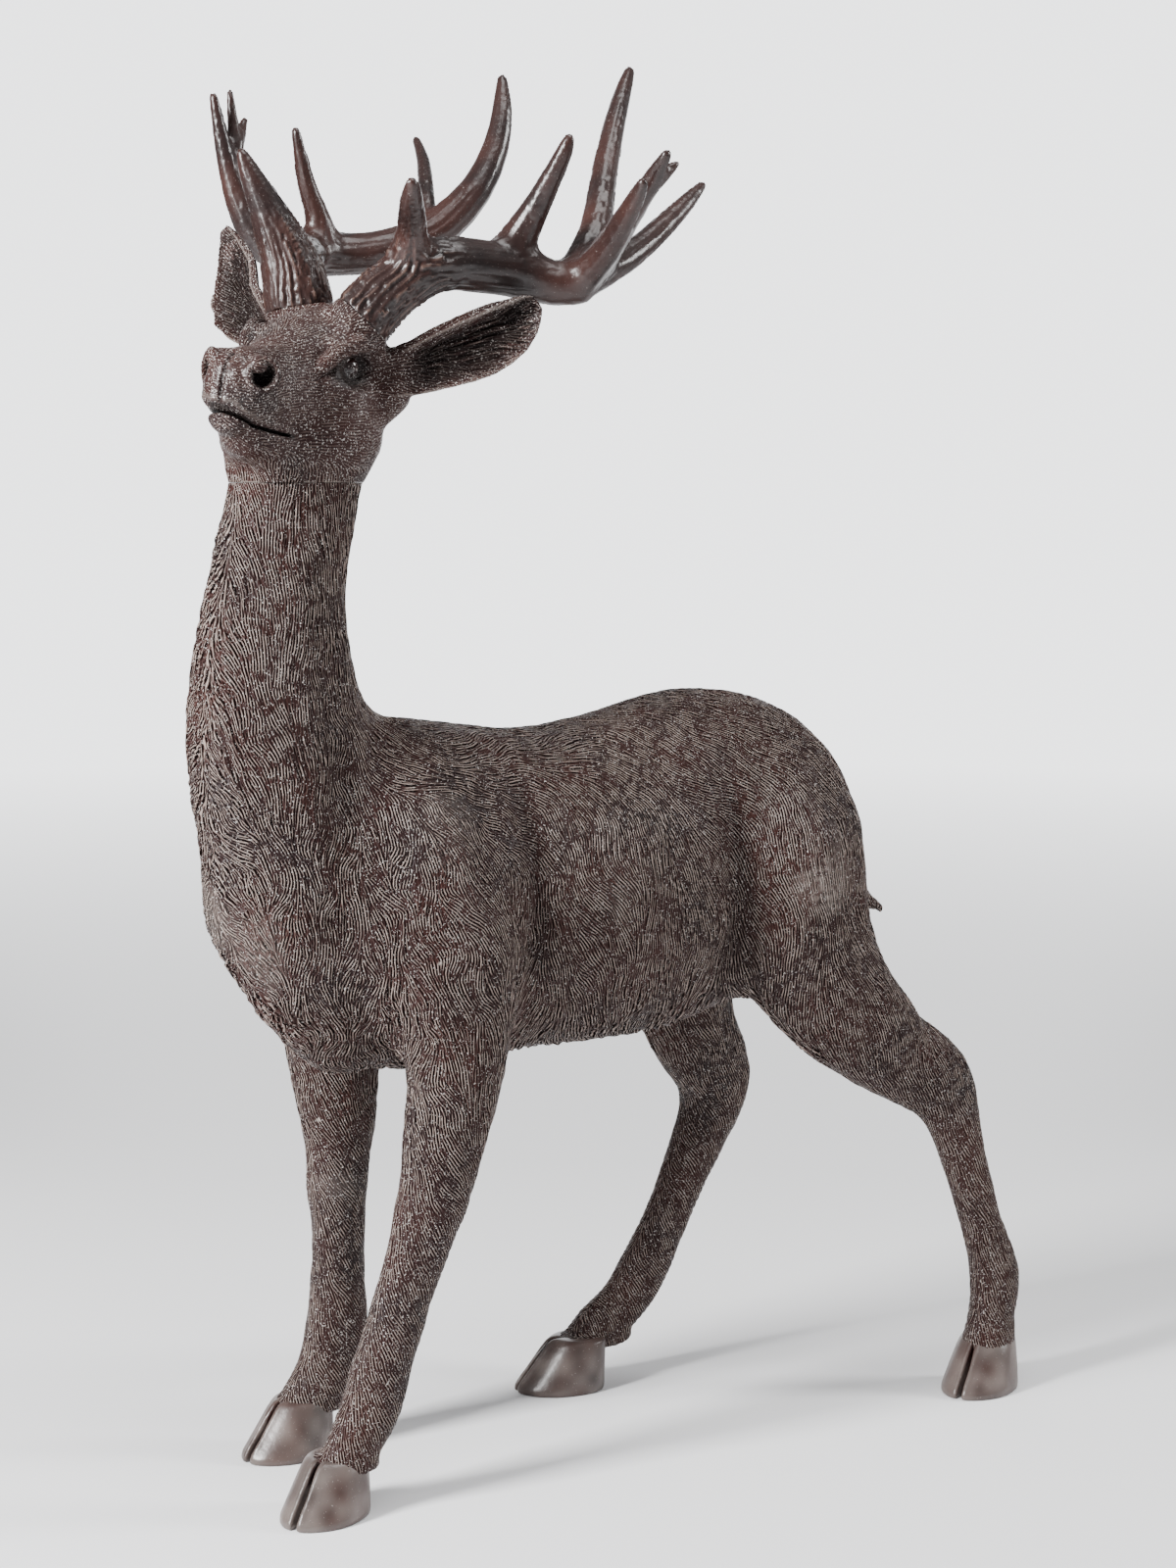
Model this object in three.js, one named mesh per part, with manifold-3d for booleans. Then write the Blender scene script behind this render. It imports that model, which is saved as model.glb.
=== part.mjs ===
// Standing stag, cast in four pieces: body with neck and legs, head, and two antlers.
// Millimetres, +Z up. The stag faces -Y, its left side is +X, and it stands on z = 0
// with the origin under the middle of its outline.

import * as THREE from "three";
import Module from "manifold-3d";

const wasm = await Module();
wasm.setup();

// Driving dimensions
const HEIGHT = 1740; // sole to highest tine tip, the one size that scales the figure
const SEAM_GAP = 0.3; // filler line left between two cast pieces
const SEAT_MARGIN = 1.5; // how far an antler's seat on the skull is wider than its butt
const CLEFT_WIDTH = 5; // slot between the two claws
const LIP_GAP = 3; // height of the mouth slot
const LIP_DEPTH = 6; // how far the mouth slot cuts into the muzzle

// Figure shares: every station and size from here on counts 1740ths of the height
const U = HEIGHT / 1740;
const NECK_SEAM = 1216 * U; // height of the flat parting face between neck and head
const HOOF_LENGTH = 122 * U; // toe to heel at the sole
const HOOF_WIDTH = 94 * U; // across both claws at the sole
const HOOF_HEIGHT = 68 * U; // sole to coronet
const EYE_RADIUS = 16 * U;
const BLOCK = 800 * U; // side of the block that trims a piece off flat
const ROOT_DEPTH = 200 * U; // how deep the tool reaches that squares off an antler's butt
const ROOT_RADIUS = 120 * U;
const PEDICLE_DEPTH = 46 * U; // how far an antler's bony stump reaches into the skull

// Turned and tilted head: where its frame sits between the eyes, and its angles in degrees
const HEAD = { at: [30, -365, 1363], yaw: 31, pitch: -3, roll: 9.5 };

const BRONZE = new THREE.Color(0x4a3630);
const BRONZE_DARK = new THREE.Color(0x3f2a24);
const TAU = Math.PI * 2;

const END_ROUND = 0.6; // how far a tube's end bulges, as a share of its last half size

// Ridges of the antlers as shares of their radius: strong at the butt, faint on the tines
const BURR = 0.07;
const FLUTE = 0.04;

// Solids

function solidFrom(positions, triangles) {
  const mesh = new wasm.Mesh({
    numProp: 3,
    vertProperties: new Float32Array(positions),
    triVerts: new Uint32Array(triangles),
  });
  return new wasm.Manifold(mesh);
}

function geometryFrom(solid) {
  const mesh = solid.getMesh();
  const geometry = new THREE.BufferGeometry();
  geometry.setAttribute("position", new THREE.BufferAttribute(mesh.vertProperties, 3));
  geometry.setIndex(new THREE.BufferAttribute(mesh.triVerts, 1));
  geometry.computeVertexNormals();
  return geometry;
}

function union(solids) {
  return solids.reduce((whole, solid) => whole.add(solid));
}

// A round form: a sphere stretched to three half sizes, turned and placed by a matrix
function ovoid(centre, halves, turn = new THREE.Euler()) {
  const across = 9;
  const down = 6;
  const place = new THREE.Matrix4().compose(
    new THREE.Vector3(...centre),
    new THREE.Quaternion().setFromEuler(turn),
    new THREE.Vector3(...halves),
  );
  const rings = [];
  for (let j = 1; j < down; j++) {
    const polar = (Math.PI * j) / down;
    rings.push((angle) => [
      Math.sin(polar) * Math.cos(angle),
      Math.sin(polar) * Math.sin(angle),
      -Math.cos(polar),
    ]);
  }
  const points = [[0, 0, -1]];
  for (const ring of rings) {
    for (let i = 0; i < across; i++) points.push(ring((TAU * i) / across));
  }
  points.push([0, 0, 1]);
  const placed = points.map((p) => new THREE.Vector3(...p).applyMatrix4(place));
  return capped(placed, rings.length, across);
}

// Joins rings of points, with one pole point before the first ring and one after the last
function capped(points, ringCount, sides) {
  const triangles = [];
  const index = (ring, side) => 1 + ring * sides + (side % sides);
  const last = points.length - 1;
  for (let i = 0; i < sides; i++) {
    triangles.push(0, index(0, i + 1), index(0, i));
    triangles.push(last, index(ringCount - 1, i), index(ringCount - 1, i + 1));
    for (let j = 0; j + 1 < ringCount; j++) {
      triangles.push(index(j, i), index(j, i + 1), index(j + 1, i + 1));
      triangles.push(index(j, i), index(j + 1, i + 1), index(j + 1, i));
    }
  }
  const positions = points.flatMap((p) => [p.x, p.y, p.z]);
  return solidFrom(positions, triangles);
}

// Passes a smooth curve through rows of numbers, steps rows for each gap
function smoothRows(rows, steps) {
  const out = [];
  const at = (i) => rows[Math.min(Math.max(i, 0), rows.length - 1)];
  for (let i = 0; i + 1 < rows.length; i++) {
    for (let s = 0; s < steps; s++) {
      const t = s / steps;
      out.push(rows[i].map((_, c) => catmull(at(i - 1)[c], at(i)[c], at(i + 1)[c], at(i + 2)[c], t)));
    }
  }
  out.push([...rows[rows.length - 1]]);
  return out;
}

function catmull(a, b, c, d, t) {
  const linear = c - a;
  const square = 2 * a - 5 * b + 4 * c - d;
  const cube = -a + 3 * b - 3 * c + d;
  return b + 0.5 * t * (linear + t * (square + t * cube));
}

// A limb or trunk: rings swept through stations [x, y, z, side half, depth half].
// The side half lies along the reference direction, the depth half square to it and to
// the path, or to a fixed normal. A flute adds shallow ridges, and a bow bends each ring
// into a gutter.
function limb(stations, options = {}) {
  const { sides = 14, steps = 2, side = [1, 0, 0], normal = null } = options;
  const { flutes = 0, ridge = 0, bow = 0 } = options;
  const rows = smoothRows(stations, steps);
  const centres = rows.map((row) => new THREE.Vector3(row[0], row[1], row[2]));
  const reference = new THREE.Vector3(...side);
  const points = [];
  rows.forEach((row, j) => {
    const before = centres[Math.max(j - 1, 0)];
    const after = centres[Math.min(j + 1, rows.length - 1)];
    const along = normal ? new THREE.Vector3(...normal) : after.clone().sub(before).normalize();
    const across = reference.clone().addScaledVector(along, -reference.dot(along)).normalize();
    const depth = along.clone().cross(across);
    const fade = 1 - j / rows.length;
    for (let i = 0; i < sides; i++) {
      const angle = (TAU * i) / sides;
      const swell = 1 + ridge * fade * Math.cos(flutes * angle);
      const u = Math.cos(angle) * row[3] * swell;
      const v = Math.sin(angle) * row[4] * swell + bow * row[3] * (Math.cos(angle) ** 2 - 0.5);
      points.push(centres[j].clone().addScaledVector(across, u).addScaledVector(depth, v));
    }
  });
  const ends = [0, rows.length - 1].map((j) => {
    const inner = centres[j === 0 ? 1 : j - 1];
    const out = centres[j].clone().sub(inner).normalize();
    return centres[j].clone().addScaledVector(out, END_ROUND * Math.min(rows[j][3], rows[j][4]));
  });
  return capped([ends[0], ...points, ends[1]], rows.length, sides).scale([U, U, U]);
}

function box(size, centre, turn = new THREE.Matrix4()) {
  const geometry = new THREE.BoxGeometry(...size).translate(...centre).applyMatrix4(turn);
  return fromGeometry(geometry);
}

function fromGeometry(geometry) {
  const position = geometry.getAttribute("position");
  const found = new Map();
  const positions = [];
  const order = [];
  for (let i = 0; i < position.count; i++) {
    const p = [position.getX(i), position.getY(i), position.getZ(i)];
    const key = p.map((value) => value.toFixed(4)).join(" ");
    if (!found.has(key)) {
      found.set(key, positions.length / 3);
      positions.push(...p);
    }
    order.push(found.get(key));
  }
  return solidFrom(positions, Array.from(geometry.index.array, (i) => order[i]));
}

// Trunk and neck

function trunk() {
  const rows = [
    // y, middle height, half height, half width
    [-375, 735, 110, 84],
    [-330, 730, 180, 118],
    [-250, 719, 216, 138],
    [-150, 713, 214, 150],
    [-40, 710, 203, 156],
    [80, 718, 211, 157],
    [180, 732, 220, 150],
    [270, 746, 204, 142],
    [350, 756, 172, 126],
    [410, 748, 140, 104],
    [452, 730, 104, 74],
    [482, 708, 60, 40],
    [495, 698, 30, 18],
  ];
  const stations = rows.map(([y, z, high, wide]) => [0, y, z, wide, high]);
  return limb(stations, { sides: 16, normal: [0, 1, 0] });
}

// Chest and neck in one sweep, from the brisket up into the skull
function neck() {
  const stations = [
    [0, -288, 526, 48, 54],
    [0, -302, 575, 78, 80],
    [0, -325, 640, 98, 102],
    [0, -348, 715, 106, 112],
    [0, -366, 803, 104, 113],
    [0, -381, 868, 99, 113],
    [0, -388, 930, 93, 113],
    [0, -391, 990, 85, 104],
    [0, -384, 1093, 73, 86],
    [2, -362, 1180, 67, 80],
    [4, -357, 1216, 68, 82],
    [7, -355, 1252, 79, 95],
    [10, -350, 1285, 82, 101],
    [12, -343, 1325, 68, 80],
  ];
  return limb(stations, { sides: 14 });
}

function withers() {
  return union([
    limb([[0, -310, 850, 56, 80], [0, -240, 878, 48, 62], [0, -120, 862, 36, 50]], { sides: 8 }),
    limb([[0, 90, 870, 60, 60], [0, 205, 888, 74, 64], [0, 310, 860, 66, 60]], { sides: 8 }),
  ]);
}

function tail() {
  const stations = [
    [0, 452, 730, 30, 26],
    [0, 500, 690, 20, 15],
    [0, 530, 660, 14, 10],
    [0, 547, 640, 8, 7],
  ];
  return limb(stations, { sides: 6 });
}

// Legs, from inside the trunk down to just above the coronet

const LEGS = {
  front_left: {
    sole: [108, -394],
    toe: 24,
    pastern: [108, -366],
    stations: [
      [62, -228, 860, 42, 70],
      [84, -230, 780, 60, 96],
      [104, -220, 695, 68, 106],
      [116, -212, 608, 63, 84],
      [120, -214, 508, 54, 63],
      [118, -226, 449, 49, 56],
      [116, -238, 385, 42, 47],
      [114, -254, 333, 37, 42],
      [112, -284, 250, 32, 37],
      [111, -316, 163, 33, 39],
      [110, -331, 118, 34, 40],
      [109, -351, 82, 30, 35],
    ],
  },
  front_right: {
    sole: [-124, -314],
    toe: 8,
    pastern: [-124, -290],
    stations: [
      [-62, -262, 850, 42, 66],
      [-84, -262, 770, 60, 92],
      [-102, -256, 685, 66, 98],
      [-110, -250, 600, 60, 82],
      [-115, -243, 480, 51, 60],
      [-116, -238, 409, 42, 49],
      [-118, -238, 346, 35, 40],
      [-120, -238, 240, 31, 36],
      [-122, -239, 156, 36, 42],
      [-123, -252, 107, 35, 41],
      [-123, -273, 73, 34, 39],
    ],
  },
  hind_left: {
    sole: [172, 584],
    toe: 22,
    pastern: [171, 598],
    stations: [
      [72, 294, 850, 62, 92],
      [92, 316, 765, 70, 110],
      [106, 316, 675, 72, 112],
      [118, 343, 588, 63, 98],
      [126, 402, 518, 54, 80],
      [131, 470, 464, 47, 64],
      [134, 536, 420, 43, 56],
      [140, 560, 372, 35, 42],
      [148, 576, 310, 28, 34],
      [157, 598, 225, 27, 32],
      [165, 618, 150, 32, 38],
      [167, 612, 102, 30, 35],
      [169, 605, 70, 32, 38],
    ],
  },
  hind_right: {
    sole: [-156, 124],
    toe: -16,
    pastern: [-155, 168],
    stations: [
      [-66, 302, 850, 62, 90],
      [-88, 308, 760, 70, 112],
      [-102, 304, 670, 70, 112],
      [-112, 300, 590, 60, 90],
      [-120, 306, 512, 52, 75],
      [-127, 342, 448, 47, 64],
      [-136, 369, 402, 46, 58],
      [-142, 363, 345, 37, 45],
      [-148, 325, 265, 30, 35],
      [-151, 294, 200, 30, 35],
      [-154, 257, 137, 32, 38],
      [-155, 228, 100, 30, 35],
      [-155, 188, 74, 30, 36],
    ],
  },
};

// A leg ends with a ring just inside the coronet of its hoof
function leg({ pastern, stations }) {
  const [x, y] = pastern;
  const sunk = [x, y, (0.78 * HOOF_HEIGHT) / U, (0.33 * HOOF_WIDTH) / U, (0.29 * HOOF_LENGTH) / U];
  return limb([...stations, sunk], { sides: 10 });
}

// A hoof: two claws side by side, flat below, sloping back from the toe to the coronet
function hoof({ sole, toe }) {
  const shape = [
    // height share, length share, width share, shift back as a share of the length
    [0, 1, 1, 0],
    [0.12, 0.99, 1.01, 0.01],
    [0.45, 0.84, 0.93, 0.09],
    [0.8, 0.7, 0.82, 0.17],
    [1.02, 0.6, 0.72, 0.23],
  ];
  const sides = 12;
  const squared = (value) => Math.sign(value) * Math.abs(value) ** 0.75;
  const points = [new THREE.Vector3(0, 0, 0)];
  for (const [high, long, wide, back] of shape) {
    for (let i = 0; i < sides; i++) {
      const angle = (TAU * i) / sides;
      const across = squared(Math.cos(angle));
      const along = squared(Math.sin(angle));
      const taper = along < 0 ? 1 - 0.22 * along * along : 1;
      points.push(new THREE.Vector3(
        0.5 * HOOF_WIDTH * wide * across * taper,
        0.5 * HOOF_LENGTH * long * along + HOOF_LENGTH * back,
        HOOF_HEIGHT * high,
      ));
    }
  }
  points.push(new THREE.Vector3(0, HOOF_LENGTH * 0.23, HOOF_HEIGHT * 1.02));
  const claws = capped(points, shape.length, sides);
  const reach = 0.42 * HOOF_LENGTH;
  const cleft = box(
    [CLEFT_WIDTH, reach, 0.82 * HOOF_HEIGHT],
    [0, reach / 2 - 0.55 * HOOF_LENGTH, 0.4 * HOOF_HEIGHT],
    new THREE.Matrix4().makeRotationX(THREE.MathUtils.degToRad(-12)),
  );
  const turn = THREE.MathUtils.degToRad(toe);
  const place = new THREE.Matrix4()
    .makeTranslation(sole[0] * U, sole[1] * U, 0)
    .multiply(new THREE.Matrix4().makeRotationZ(turn));
  return claws.subtract(cleft).transform(place.elements);
}

function body() {
  const parts = [trunk(), neck(), withers(), tail()];
  for (const row of Object.values(LEGS)) parts.push(leg(row), hoof(row));
  const above = box([BLOCK, BLOCK, BLOCK], [0, -300 * U, NECK_SEAM + BLOCK / 2]);
  return union(parts).subtract(above);
}

// Head, written in its own frame: forward, left and up from the point between the eyes

const headTurn = new THREE.Matrix4()
  .makeRotationZ(THREE.MathUtils.degToRad(HEAD.yaw))
  .multiply(new THREE.Matrix4().makeRotationX(THREE.MathUtils.degToRad(HEAD.pitch)))
  .multiply(new THREE.Matrix4().makeRotationY(THREE.MathUtils.degToRad(HEAD.roll)));
const headPlace = new THREE.Matrix4()
  .makeTranslation(...HEAD.at.map((value) => value * U))
  .multiply(headTurn);

// Rows [forward, left, up, ...] become stations [x, y, z, ...] of the head's own frame
function facing(rows) {
  return rows.map(([forward, left, up, ...rest]) => [left, -forward, up, ...rest]);
}

function headOvoid([forward, left, up], halves, turn) {
  return ovoid([left, -forward, up], halves, turn).scale([U, U, U]);
}

function skull() {
  const rows = [
    // forward, left, up, half width, half height
    [157, 0, -42, 22, 20],
    [150, 0, -43, 37, 36],
    [134, 0, -45, 42, 46],
    [110, 0, -48, 42, 50],
    [78, 0, -46, 45, 54],
    [46, 0, -40, 53, 60],
    [14, 0, -30, 63, 66],
    [-14, 0, -21, 70, 74],
    [-46, 0, -14, 73, 80],
    [-80, 0, -18, 70, 76],
    [-108, 0, -24, 58, 60],
    [-126, 0, -28, 34, 34],
  ];
  return limb(facing(rows), { sides: 16, steps: 1 });
}

function jaw() {
  const rows = [
    [126, 0, -95, 15, 15],
    [92, 0, -99, 25, 18],
    [45, 0, -101, 42, 22],
    [-10, 0, -99, 57, 28],
    [-48, 0, -92, 62, 32],
  ];
  return limb(facing(rows), { sides: 8, steps: 1 });
}

function muzzleCore(shrink) {
  const rows = [
    [152 - shrink, 0, -43, 36 - shrink, 38 - shrink],
    [110, 0, -48, 42 - shrink, 50 - shrink],
    [78, 0, -46, 45 - shrink, 54 - shrink],
    [36, 0, -37, 55 - shrink, 62 - shrink],
  ];
  return limb(facing(rows), { sides: 16 });
}

function mouth() {
  const turn = new THREE.Matrix4().makeRotationX(THREE.MathUtils.degToRad(-8));
  const slab = box([160 * U, 110 * U, LIP_GAP], [0, -145 * U, -87 * U], turn);
  return slab.subtract(muzzleCore(LIP_DEPTH));
}

const EARS = {
  left: {
    hand: 1,
    side: [0.5, 0.25, -0.83],
    rows: [
      [-60, 66, -8, 28, 22],
      [-80, 106, 8, 33, 16],
      [-98, 136, 28, 40, 11],
      [-121, 168, 51, 44, 9],
      [-140, 192, 76, 38, 8],
      [-154, 206, 100, 23, 6],
      [-159, 212, 110, 12, 4],
    ],
  },
  right: {
    hand: -1,
    side: [-0.85, 0.25, -0.45],
    rows: [
      [-60, -64, -4, 26, 22],
      [-80, -106, 24, 32, 15],
      [-100, -153, 48, 45, 10],
      [-122, -174, 82, 40, 8],
      [-138, -199, 112, 26, 7],
      [-150, -221, 136, 10, 4],
    ],
  },
};

function ear({ hand, side, rows }) {
  return limb(facing(rows), { sides: 8, side, bow: -0.42 * hand });
}

function head() {
  const parts = [skull(), jaw(), ear(EARS.left), ear(EARS.right)];
  const cuts = [mouth()];
  const eye = EYE_RADIUS / U;
  for (const hand of [1, -1]) {
    parts.push(headOvoid([2, hand * 60, 0], [0.8 * eye, eye, 0.9 * eye]));
    parts.push(headOvoid([0, hand * 56, 18], [20, 30, 12], new THREE.Euler(0, hand * 0.5, 0)));
    parts.push(headOvoid([138, hand * 29, -29], [17, 17, 18]));
    parts.push(headOvoid([-52, hand * 44, -60], [36, 50, 48]));
    parts.push(headOvoid([-76, hand * 66, -38], [30, 34, 34]));
    cuts.push(headOvoid([153, hand * 39, -32], [9, 12, 10]));
  }
  const inHeadFrame = union(parts);
  const carved = cuts.reduce((whole, cut) => whole.subtract(cut), inHeadFrame);
  const below = box([BLOCK, BLOCK, BLOCK], [0, -300 * U, NECK_SEAM + SEAM_GAP - BLOCK / 2]);
  const placed = carved.transform(headPlace.elements).add(neck()).subtract(below);
  return ANTLERS.reduce((whole, antlerRow) => whole.add(pedicle(antlerRow)).subtract(seat(antlerRow)), placed);
}

// Antlers: rows [x, y, z, radius] from the butt or a fork out to each tip

const ANTLERS = [
  {
    name: "antler_left",
    butt: [60, -299, 1404],
    axis: [0.31, 0.62, 0.72],
    radius: 36,
    tines: [
      [[48, -324, 1376, 37], [71, -276, 1435, 34], [92, -224, 1469, 30], [93, -165, 1470, 30],
        [96, -102, 1463, 29], [113, -64, 1451, 25], [130, -34, 1452, 23]],
      [[78, -254, 1456, 28], [110, -262, 1502, 18], [146, -285, 1532, 13], [166, -296, 1547, 9],
        [176, -303, 1556, 5]],
      [[84, -118, 1476, 26], [112, -100, 1525, 18], [139, -90, 1567, 13], [159, -83, 1600, 10],
        [170, -81, 1620, 5]],
      [[124, -42, 1458, 23], [98, 5, 1516, 19], [57, 46, 1582, 16], [12, 95, 1658, 13],
        [-17, 132, 1712, 9], [-28, 148, 1734, 5]],
      [[128, -38, 1455, 22], [180, -36, 1487, 17], [227, -42, 1523, 13], [259, -48, 1547, 9],
        [277, -53, 1562, 5]],
      [[134, -22, 1468, 20], [182, -15, 1516, 16], [218, -13, 1549, 13], [245, -12, 1574, 10],
        [270, -13, 1597, 5]],
      [[228, -16, 1552, 9], [246, 0, 1573, 7], [252, 15, 1588, 4]],
      [[128, -36, 1453, 21], [112, 42, 1486, 17], [92, 110, 1527, 14], [77, 160, 1562, 10],
        [65, 193, 1586, 5]],
    ],
  },
  {
    name: "antler_right",
    butt: [-29, -332, 1420],
    axis: [-0.12, -0.1, 0.99],
    radius: 39,
    tines: [
      [[-27, -330, 1390, 41], [-31, -340, 1458, 36], [-33, -357, 1505, 27], [-37, -371, 1536, 20],
        [-42, -388, 1572, 13], [-45, -401, 1602, 5]],
      [[-44, -326, 1462, 28], [-88, -300, 1482, 29], [-165, -250, 1492, 27], [-235, -205, 1500, 27],
        [-240, -170, 1502, 26], [-214, -124, 1504, 25], [-194, -74, 1518, 25], [-182, -34, 1542, 24],
        [-173, 10, 1587, 20], [-176, 42, 1643, 16], [-184, 57, 1692, 12], [-196, 65, 1736, 5]],
      [[-190, -60, 1522, 18], [-224, -34, 1575, 11], [-284, 0, 1631, 8], [-329, 16, 1665, 5]],
      [[-230, -174, 1500, 22], [-227, -194, 1552, 14], [-224, -211, 1590, 11], [-218, -229, 1654, 5]],
      [[-238, -206, 1498, 27], [-266, -243, 1514, 26], [-276, -265, 1548, 21], [-282, -282, 1586, 14],
        [-285, -294, 1632, 10], [-286, -307, 1697, 5]],
      [[-275, -264, 1544, 18], [-283, -270, 1585, 12], [-291, -273, 1630, 9], [-300, -276, 1706, 4]],
      [[-288, -273, 1634, 8], [-304, -257, 1658, 6], [-313, -247, 1674, 4]],
    ],
  },
];

function alongAxis({ butt, axis }, reach, radius, sides) {
  const direction = new THREE.Vector3(...axis).normalize();
  const turn = new THREE.Quaternion().setFromUnitVectors(new THREE.Vector3(0, 1, 0), direction);
  const centre = new THREE.Vector3(...butt)
    .multiplyScalar(U)
    .addScaledVector(direction, (reach[0] + reach[1]) / 2);
  const geometry = new THREE.CylinderGeometry(radius, radius, reach[1] - reach[0], sides)
    .applyQuaternion(turn)
    .translate(centre.x, centre.y, centre.z);
  return fromGeometry(geometry);
}

// The bony stump of the skull that carries an antler
function pedicle(antlerRow) {
  return alongAxis(antlerRow, [-PEDICLE_DEPTH, -SEAM_GAP], antlerRow.radius * U, 10);
}

// One tine: a fluted tube through its rows, grown by a clearance where a seat is cut with it.
// The first tine is the heavy one that stands on the skull.
function tine(rows, order, grow = 0) {
  const stations = rows.map(([x, y, z, r]) => [x, y, z, r + grow / U, r + grow / U]);
  const sides = [10, 8][order] ?? 6;
  const ridge = order === 0 ? BURR : FLUTE;
  return limb(stations, { sides, flutes: sides / 2, ridge });
}

// Trims everything of an antler's tubes that would reach below its butt
function rootTrim(antlerRow, top) {
  return alongAxis(antlerRow, [-ROOT_DEPTH, top], ROOT_RADIUS, 12);
}

// The flat seat cut into the skull for an antler's butt
function seat(antlerRow) {
  const grown = union(antlerRow.tines.slice(0, 2).map((rows, i) => tine(rows, i, SEAT_MARGIN)));
  return grown.subtract(rootTrim(antlerRow, -SEAM_GAP));
}

function antler(antlerRow) {
  return union(antlerRow.tines.map((rows, i) => tine(rows, i))).subtract(rootTrim(antlerRow, 0));
}

// The group, with its origin on the ground under the middle of the outline

function piece(name, solid, color, roughness) {
  const material = new THREE.MeshStandardMaterial({ color, roughness, metalness: 0.1 });
  const mesh = new THREE.Mesh(geometryFrom(solid), material);
  mesh.name = name;
  return mesh;
}

const stag = new THREE.Group();
stag.name = "stag";
stag.add(piece("body", body(), BRONZE, 0.62));
stag.add(piece("head", head(), BRONZE, 0.58));
for (const antlerRow of ANTLERS) {
  stag.add(piece(antlerRow.name, antler(antlerRow), BRONZE_DARK, 0.45));
}

const outline = new THREE.Box3().setFromObject(stag);
const middle = outline.getCenter(new THREE.Vector3());
stag.position.set(-middle.x, -middle.y, -outline.min.z);

export default stag;
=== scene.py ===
import copy
import math

import bmesh
import bpy
import numpy as np
import openvdb as vdb
from mathutils import Matrix, Vector


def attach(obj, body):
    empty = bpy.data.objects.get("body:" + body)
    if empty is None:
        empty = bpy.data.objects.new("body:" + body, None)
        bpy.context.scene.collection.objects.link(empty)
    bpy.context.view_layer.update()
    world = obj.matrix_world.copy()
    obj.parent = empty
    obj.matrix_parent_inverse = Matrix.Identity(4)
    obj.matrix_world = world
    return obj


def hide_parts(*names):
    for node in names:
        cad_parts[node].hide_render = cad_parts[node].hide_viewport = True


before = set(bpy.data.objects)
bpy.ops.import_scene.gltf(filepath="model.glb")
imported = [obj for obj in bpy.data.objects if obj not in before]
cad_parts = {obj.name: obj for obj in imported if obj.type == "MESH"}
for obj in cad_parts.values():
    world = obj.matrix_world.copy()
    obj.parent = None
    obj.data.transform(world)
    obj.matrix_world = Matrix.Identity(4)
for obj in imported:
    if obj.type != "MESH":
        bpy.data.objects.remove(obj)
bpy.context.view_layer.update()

# Where the body's own measurements sit in the shared frame, in metres
SHIFT = np.array([0.02585, -0.06732, 0.0])
SEAM = 1.216  # height of the filled joint round the neck
JOINT = 0.00015  # half the gap at each joint
CORONET = 0.070  # height where the hair ends above the hooves

# Grid steps of the level sets
COAT_VOXEL = 0.0062
HOOF_VOXEL = 0.0023
HEAD_VOXEL = 0.0019
HORN_VOXEL = 0.0027

# Carved strokes: length and spacing
LOCK = (0.024, 0.0086)
TUFT = (0.045, 0.014)
SHORT_HAIR = (0.011, 0.0046)
LONG_HAIR = (0.036, 0.0085)
RIDGE = (0.060, 0.0095)
GROOVE = (0.090, 0.013)
GRAIN = (0.018, 0.006)
FINE_HAIR = (0.014, 0.0035)  # in the material


# Level sets, held as dense arrays of distances in metres


def column(items, name, kind, width=1):
    """One value of every item, such as the place of every vertex."""
    out = np.empty(len(items) * width, kind)
    items.foreach_get(name, out)
    return out if width == 1 else out.reshape(-1, width)


def node_mesh(name):
    """Points and triangles of a CAD node."""
    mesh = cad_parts[name].data
    mesh.calc_loop_triangles()
    triangles = column(mesh.loop_triangles, "vertices", np.int32, 3)
    return column(mesh.vertices, "co", np.float32, 3), triangles.astype(np.uint32)


def joined(meshes):
    """Several meshes as one list of points and triangles."""
    points, triangles, start = [], [], 0
    for p, t in meshes:
        points.append(p)
        triangles.append(t + np.uint32(start))
        start += len(p)
    return np.vstack(points), np.vstack(triangles)


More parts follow.
